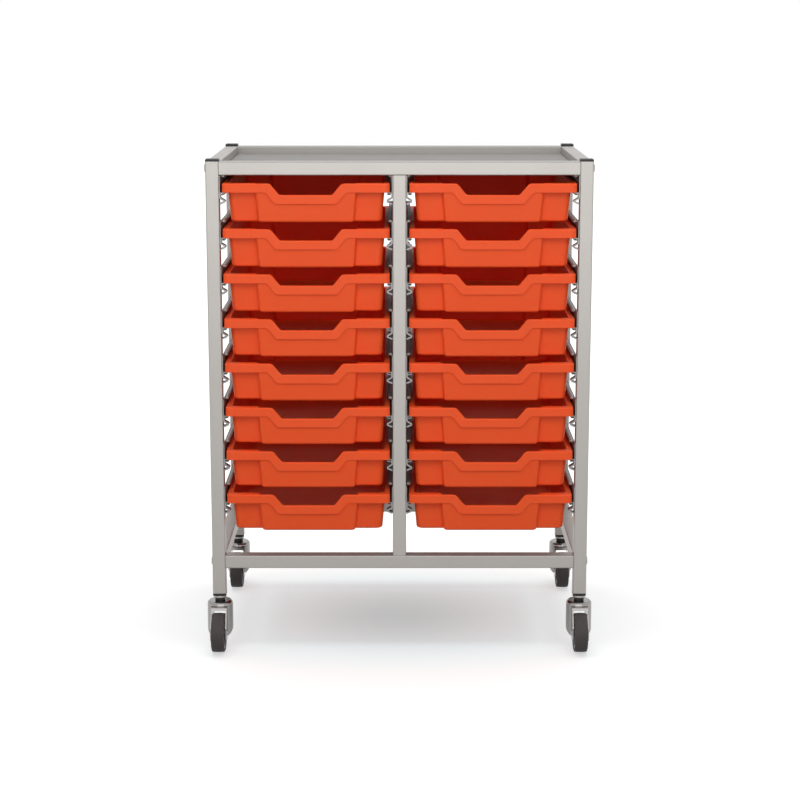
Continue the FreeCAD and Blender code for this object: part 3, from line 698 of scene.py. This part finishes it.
def runner():
    """The strip, its bead and its two feet; the web lies on x = 0 and the ledge on z = 0."""
    middle = GAUGE / 2
    web = folded_strip([(HEM_EDGE, -HEM), (LEDGE - middle, -HEM), (LEDGE - middle, -middle),
                        (middle, -middle), (middle, BEAD_TOP)], GAUGE, STRIP_BEND)
    foot = folded_strip([(FOOT_GAUGE / 2, -GAUGE), (FOOT_GAUGE / 2, -FOOT_TOP),
                         (FOOT_REACH - FOOT_EDGE, -FOOT_TIP),
                         (middle, -FOOT_LOW + FOOT_HEEL)], FOOT_GAUGE, FOOT_BEND)
    feet = [drawn_out(foot, start, start + FOOT_LENGTH) for start in (0, RUN - FOOT_LENGTH)]
    return merge([drawn_out(web, 0, RUN), bead(), *feet])


runner_points, runner_faces = runner()
print("runner:", len(runner_points), "points")

# %% [markdown]
# A wall carries eight runners, one over the other. They never move, so the set of a wall is
# one mesh that rides on the frame, laid out from the corner of the plain set's box. The nose
# of each bead takes the posts' paler coat: a painted highlight for the pale dot that its
# rounded end shows where it catches the front light.
# A narrow bevel breaks the sheet's sharp edges, which would otherwise catch no light.

# %% Put the runners on the posts
LEVELS, PITCH = 8, 85
NOSE_CLEAR = 0.5
EDGE_BREAK, EDGE_ANGLE = 0.3, 50


def paint_nose_highlights(piece, wall_x, front, base):
    """Give the faces of the beads' drawn-in ends the second, paler finish of the piece: a
    painted highlight where their rounded noses catch the front light.
    """
    for face in piece.data.polygons:
        across = face.center.x / MM - wall_x
        along = face.center.y / MM - front
        height = (face.center.z / MM - base) % PITCH
        in_bead = BEAD_LOW < height < BEAD_TOP and abs(across) > GAUGE
        if in_bead and min(along, RUN - along) < BEAD_LEAD + NOSE - NOSE_CLEAR:
            face.material_index = 1


def fit_runners(node):
    """All the runners of one wall as one piece. Outer left and inner right walls face +x."""
    low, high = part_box(node)
    facing = 1 if node in ("runners_left_outer", "runners_right_inner") else -1
    wall_x = (low.x if facing > 0 else high.x) / MM
    front, base = low.y / MM, low.z / MM + FOOT_LOW
    shapes = []
    for level in range(LEVELS):
        points = [(wall_x + facing * x, front + y, base + level * PITCH + z)
                  for x, y, z in runner_points]
        shapes.append((points, runner_faces))
    piece = new_piece(node.replace("runners", "pressed_runners"), *merge(shapes), runner_paint)
    # the posts' paler coat, put on the bead noses as a painted highlight
    piece.data.materials.append(paint)
    paint_nose_highlights(piece, wall_x, front, base)
    edges = piece.modifiers.new("broken edges", "BEVEL")
    edges.width = EDGE_BREAK * MM
    edges.segments = 2
    edges.limit_method = "ANGLE"
    edges.angle_limit = math.radians(EDGE_ANGLE)
    settle_normals(piece)
    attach(piece, "frame")
    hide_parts(node)
    return piece


runner_pieces = [fit_runners(node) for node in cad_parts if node.startswith("runners_")]
print("fitted", len(runner_pieces), "sets of runners")

# %% [markdown]
# A castor wheel is a hard tyre on a moulded hub. Both are turned about the axle, so a profile
# and a spin make them. The spin is a small function here, because a screw modifier would add
# a second way of making meshes for the sake of two pieces.

# %% A piece turned about the axle
def turned(profile, steps):
    """Points and faces of a closed profile of (along the axle, radius), spun about x."""
    points, faces = [], []
    count = len(profile)
    for step in range(steps):
        turn = math.tau * step / steps
        points += [(along, radius * math.cos(turn), radius * math.sin(turn))
                   for along, radius in profile]
        after = (step + 1) % steps
        for place in range(count):
            beyond = (place + 1) % count
            faces.append((step * count + place, step * count + beyond,
                          after * count + beyond, after * count + place))
    return points, faces


print("turning ready")

# %% [markdown]
# The tyre sits on the hub's seat. Its tread has a slight crown, round shoulders and, in the
# middle, the fine ridge that is left where the halves of its mould parted. The ridge is too
# fine for a bump to keep its edge, so it is drawn in the profile.

# %% The tyre
WHEEL, TREAD, SEAT = 37.5, 12.5, 30
SHOULDER, SHOULDER_TURNS = 2.6, (20, 40, 60, 80)
CROWN = 0.5
TYRE_HEEL = ((0.9, 0), (0.25, 0.5), (0, 1.4))
CROWN_DROPS = ((6, 0.22), (2.5, 0.05), (0.5, 0.04), (0.2, 0))
TYRE_STEPS = 96


def tyre_profile():
    """Half the outline from the seat over the shoulder to the crown, then its mirror."""
    shoulder_at = WHEEL - CROWN
    half = [(-TREAD + inwards, SEAT + out) for inwards, out in TYRE_HEEL]
    half.append((-TREAD, shoulder_at - SHOULDER))
    for to_go, come in quarter_round(SHOULDER, SHOULDER_TURNS):
        half.append((-TREAD + come, shoulder_at - to_go))
    half += [(-aside, WHEEL - drop) for aside, drop in CROWN_DROPS]
    return half + [(-along, radius) for along, radius in reversed(half)]


tyre_mesh = turned(tyre_profile(), TYRE_STEPS)
print("tyre:", len(tyre_mesh[0]), "points")

# %% [markdown]
# The hub is moulded too: a boss round the axle and a rim under the tyre, joined by a dished
# web that thin ribs stiffen, as such hubs have it to keep the walls thin. The turned part and
# the ribs simply run into each other; cutting them together would cost faces and show nothing.

# %% The hub and its ribs
HUB_SIDE, BOSS, WEB, RIM_SIDE, RIM_INSIDE = 12.2, 9, 5, 11.5, 26.5
BORE = 4.05
BREAK, BOSS_BREAK, RIM_BREAK = 0.4, 0.8, 0.6
WEB_RISE, WEB_BLEND, BOSS_FLARE, RIM_FLARE = 1, 2.4, 1.2, 1
RIBS = 6
RIB_HALF, RIB_SHY, RIB_IN_BOSS, RIB_IN_RIM = 0.9, 1.6, 1, 0.5
HUB_STEPS = 72


def hub_profile():
    """The section through boss, dished web and rim, with its corners broken."""
    half = [(-HUB_SIDE, BORE + BREAK), (-HUB_SIDE, BOSS - BOSS_BREAK),
            (-HUB_SIDE + BOSS_BREAK, BOSS), (-WEB - WEB_RISE, BOSS + BOSS_FLARE),
            (-WEB, BOSS + WEB_BLEND), (-WEB, RIM_INSIDE - WEB_BLEND),
            (-WEB - WEB_RISE, RIM_INSIDE - RIM_FLARE), (-RIM_SIDE + RIM_BREAK, RIM_INSIDE),
            (-RIM_SIDE, RIM_INSIDE + RIM_BREAK), (-RIM_SIDE, SEAT - BREAK),
            (-RIM_SIDE + BREAK, SEAT)]
    other = [(-along, radius) for along, radius in reversed(half)]
    return [(-HUB_SIDE + BREAK, BORE)] + half + other + [(HUB_SIDE - BREAK, BORE)]


def rib(turn):
    """A thin wall between boss and rim, through the web and out on both sides."""
    high = HUB_SIDE - RIB_SHY
    near, far = BOSS - RIB_IN_BOSS, RIM_INSIDE + RIB_IN_RIM
    section = [(near, -RIB_HALF), (far, -RIB_HALF), (far, RIB_HALF), (near, RIB_HALF)]
    points = []
    for along in (-high, high):
        for out, aside in section:
            points.append((along, out * math.cos(turn) - aside * math.sin(turn),
                           out * math.sin(turn) + aside * math.cos(turn)))
    return points, ring_faces(2, len(section))


ribs = [rib(math.tau * step / RIBS) for step in range(RIBS)]
hub_mesh = merge([turned(hub_profile(), HUB_STEPS)] + ribs)
print("hub:", len(hub_mesh[0]), "points")

# %% [markdown]
# The tyre and the hub turn together on their axle, so both ride on the body of their wheel.
# The box of the plain piece has its middle on the axle, and that is where each is set down.

# %% Put tyres and hubs on the four axles
def mount(shape, name, node, material):
    """A turned piece centred where the plain one is, riding on its wheel."""
    low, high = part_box(node)
    piece = new_piece(name, *shape, material)
    piece.location = (low + high) / 2
    settle_normals(piece)
    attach(piece, node.replace("castor_tyre", "wheel").replace("castor_hub", "wheel"))
    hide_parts(node)
    return piece


for corner in ("front_left", "front_right", "rear_left", "rear_right"):
    mount(tyre_mesh, f"tyre_{corner}", f"castor_tyre_{corner}", rubber)
    mount(hub_mesh, f"ribbed_hub_{corner}", f"castor_hub_{corner}", hub_grey)
print("mounted four wheels")

# %% [markdown]
# The unit is lit as in a product studio, by broad lamps with soft edges. The key lamp stands
# high in front. The panel lower in front is the only one that glossy surfaces mirror: it makes
# the posts bright at the top and darker towards the floor. A lamp behind and one on each side
# lift the shadows between the trays, and one overhead lights the floor. A single lamp with a
# bright dome would be simpler, but it leaves the insides of the trays flat.

# %% Lamps
AIM_HIGH, AIM_LOW, AIM_FLOOR = (0, 0, 0.8), (0, 0, 0.6), (0, 0, 0)
BROAD, SLIM, BESIDE, ABOVE = (2.0, 1.2), (2.0, 0.6), (1.6, 1.2), (2.2, 1.6)


def soft_box(name, place, target, size, power, mirrored):
    """A rectangular area lamp that faces a target, of a width and height in metres and a
    power in watts. Glossy surfaces mirror it or don't."""
    data = bpy.data.lights.new(name, "AREA")
    data.shape = "RECTANGLE"
    data.size, data.size_y = size
    data.energy = power
    lamp = bpy.data.objects.new(name, data)
    lamp.location = place
    lamp.rotation_euler = (Vector(target) - Vector(place)).to_track_quat("-Z", "Y").to_euler()
    lamp.visible_camera = False
    lamp.visible_glossy = mirrored
    bpy.context.scene.collection.objects.link(lamp)
    return lamp


object_lamps = [
    soft_box("key", (0, -1.9, 1.95), AIM_HIGH, SLIM, power=13, mirrored=False),
    soft_box("front panel", (0, -1.9, 1.05), AIM_HIGH, BROAD, power=13, mirrored=True),
    soft_box("rear fill", (0, 2.4, 1.3), AIM_LOW, BROAD, power=20, mirrored=False),
    soft_box("left fill", (-2.3, 0.2, 1.2), AIM_LOW, BESIDE, power=11, mirrored=False),
    soft_box("right fill", (2.3, 0.2, 1.2), AIM_LOW, BESIDE, power=11, mirrored=False)]
soft_box("overhead", (0, 0.12, 2.6), AIM_FLOOR, ABOVE, power=29, mirrored=False)

# %% [markdown]
# The world does two jobs. To a ray that ends up in the picture, straight or by a reflection,
# it is the white backdrop; to every other ray it is a dim dome that fills the shadows. One
# strength for both would either grey the backdrop or flood the unit with light. A Light Path
# node tells the rays apart.

# %% World
DOME_STRENGTH, BACKDROP_STRENGTH = 0.33, 1.0
WHITE = (1, 1, 1, 1)


def seen_rays(tree):
    """One for a ray that the camera sees, straight, mirrored or through glass, else zero."""
    path = tree.nodes.new("ShaderNodeLightPath")
    mirrored = math_node(tree, "MAXIMUM", path.outputs["Is Camera Ray"],
                         path.outputs["Is Glossy Ray"])
    return math_node(tree, "MAXIMUM", mirrored, path.outputs["Is Transmission Ray"])


def white_light(tree, strength):
    """A white background of a given strength."""
    background = tree.nodes.new("ShaderNodeBackground")
    background.inputs["Color"].default_value = WHITE
    background.inputs["Strength"].default_value = strength
    return background.outputs["Background"]


world = bpy.data.worlds.new("studio")
bpy.context.scene.world = world
world.use_nodes = True
sky = world.node_tree
sky.nodes.clear()
choice = sky.nodes.new("ShaderNodeMixShader")
sky.links.new(seen_rays(sky), choice.inputs["Fac"])
sky.links.new(white_light(sky, DOME_STRENGTH), choice.inputs[1])
sky.links.new(white_light(sky, BACKDROP_STRENGTH), choice.inputs[2])
world_end = sky.nodes.new("ShaderNodeOutputWorld")
sky.links.new(choice.outputs["Shader"], world_end.inputs["Surface"])
print("dome", DOME_STRENGTH, "backdrop", BACKDROP_STRENGTH)

# %% [markdown]
# The floor is a sheet of white paper that reaches far beyond the picture. A flat sheet is
# enough, because paper and backdrop are equally white where they meet.

# %% The paper on the floor
PAPER_HALF = 12.0

floor_mesh = bpy.data.meshes.new("studio_floor")
floor_corners = [(-PAPER_HALF, -PAPER_HALF, 0), (PAPER_HALF, -PAPER_HALF, 0),
                 (PAPER_HALF, PAPER_HALF, 0), (-PAPER_HALF, PAPER_HALF, 0)]
floor_mesh.from_pydata(floor_corners, [], [(0, 1, 2, 3)])
floor = bpy.data.objects.new("studio_floor", floor_mesh)
bpy.context.scene.collection.objects.link(floor)
print("floor", 2 * PAPER_HALF, "m square")

# %% [markdown]
# Lit paper comes out grey near the unit and never quite white. Two ramps over the distance
# from the middle mend that. One tints the paper cool near the unit: a painted counter-tint
# that cancels the pink of the light the trays bounce on to it. The other lets it glow, weakly
# at the foot of the unit, where the soft shadow has to stay, and fully white from two metres
# on. Being lowest under the unit, the glow also paints part of that shadow as painted shade,
# on top of the real one. Both are for seen rays alone. What bounces from the floor on to the
# trays is a plain grey, so the glow doesn't light them from below.

# %% Finish of the paper
PAPER_REACH = 3.0
PAPER_OVAL = (0.8, 1, 1)
PAPER_ROUGHNESS = 0.9
BOUNCE_GREY = (0.45, 0.45, 0.45, 1)
# painted counter-tint: cooler paper near the unit cancels the pink bounce light from the trays
COOL_TINTS_AGAINST_BOUNCE = [(0.0, (0.60, 0.92, 0.96)), (0.2, (0.74, 0.92, 0.95)), (0.4, (0.90, 0.93, 0.935))]
# the glow is lowest under the unit, so it paints part of the shadow there as painted shade
GLOWS_AND_PAINTED_SHADE = [(0.0, (0.395,) * 3), (0.3, (0.54,) * 3), (0.9, (0.68,) * 3), (2.0, (1.0,) * 3)]


def reach_share(tree):
    """The distance from the middle, oval as the unit's foot is, as a share of the reach."""
    oval = tree.nodes.new("ShaderNodeVectorMath")
    oval.operation = "MULTIPLY"
    oval.inputs[1].default_value = PAPER_OVAL
    tree.links.new(tree.nodes.new("ShaderNodeTexCoord").outputs["Object"], oval.inputs[0])
    distance = tree.nodes.new("ShaderNodeVectorMath")
    distance.operation = "LENGTH"
    tree.links.new(oval.outputs["Vector"], distance.inputs[0])
    return math_node(tree, "DIVIDE", distance.outputs["Value"], PAPER_REACH)


def ramp(tree, share, stops):
    """A soft colour ramp over the distance from the middle, from (metres, colour) pairs."""
    node = tree.nodes.new("ShaderNodeValToRGB")
    node.color_ramp.interpolation = "EASE"
    elements = node.color_ramp.elements
    while len(elements) < len(stops):
        elements.new(0.5)
    for element, (metres, colour) in zip(elements, stops):
        element.position = metres / PAPER_REACH
        element.color = (*colour, 1)
    tree.links.new(share, node.inputs["Fac"])
    return node.outputs["Color"]


floor_finish = bpy.data.materials.new("studio floor")
floor_finish.use_nodes = True
paper_tree = floor_finish.node_tree
shader = paper_tree.nodes["Principled BSDF"]
shader.inputs["Roughness"].default_value = PAPER_ROUGHNESS
shader.inputs["Specular IOR Level"].default_value = 0.0
seen = seen_rays(paper_tree)
away = reach_share(paper_tree)
paper = paper_tree.nodes.new("ShaderNodeMix")
paper.data_type = "RGBA"
paper.inputs["A"].default_value = BOUNCE_GREY
paper_tree.links.new(ramp(paper_tree, away, COOL_TINTS_AGAINST_BOUNCE), paper.inputs["B"])
paper_tree.links.new(seen, paper.inputs["Factor"])
paper_tree.links.new(paper.outputs["Result"], shader.inputs["Base Color"])
glow_and_painted_shade = math_node(paper_tree, "MULTIPLY", seen, ramp(paper_tree, away, GLOWS_AND_PAINTED_SHADE))
shader.inputs["Emission Color"].default_value = WHITE
paper_tree.links.new(glow_and_painted_shade, shader.inputs["Emission Strength"])
floor_mesh.materials.append(floor_finish)
print("paper ramps reach", PAPER_REACH, "m")

# %% [markdown]
# The lamps in front, behind and at the sides would each throw their own shadow on the paper.
# Light linking keeps them off it, so only the overhead lamp and the dome light the floor, and
# one soft shadow lies under the unit. Turning their shadows off would undo them on the unit
# as well.

# %% Keep the unit's lamps off the paper
spared = bpy.data.collections.new("spared by the object's lamps")
spared.objects.link(floor)
spared.collection_objects[0].light_linking.link_state = "EXCLUDE"
for lamp in object_lamps:
    lamp.light_linking.receiver_collection = spared
print("kept off the paper:", [lamp.name for lamp in object_lamps])
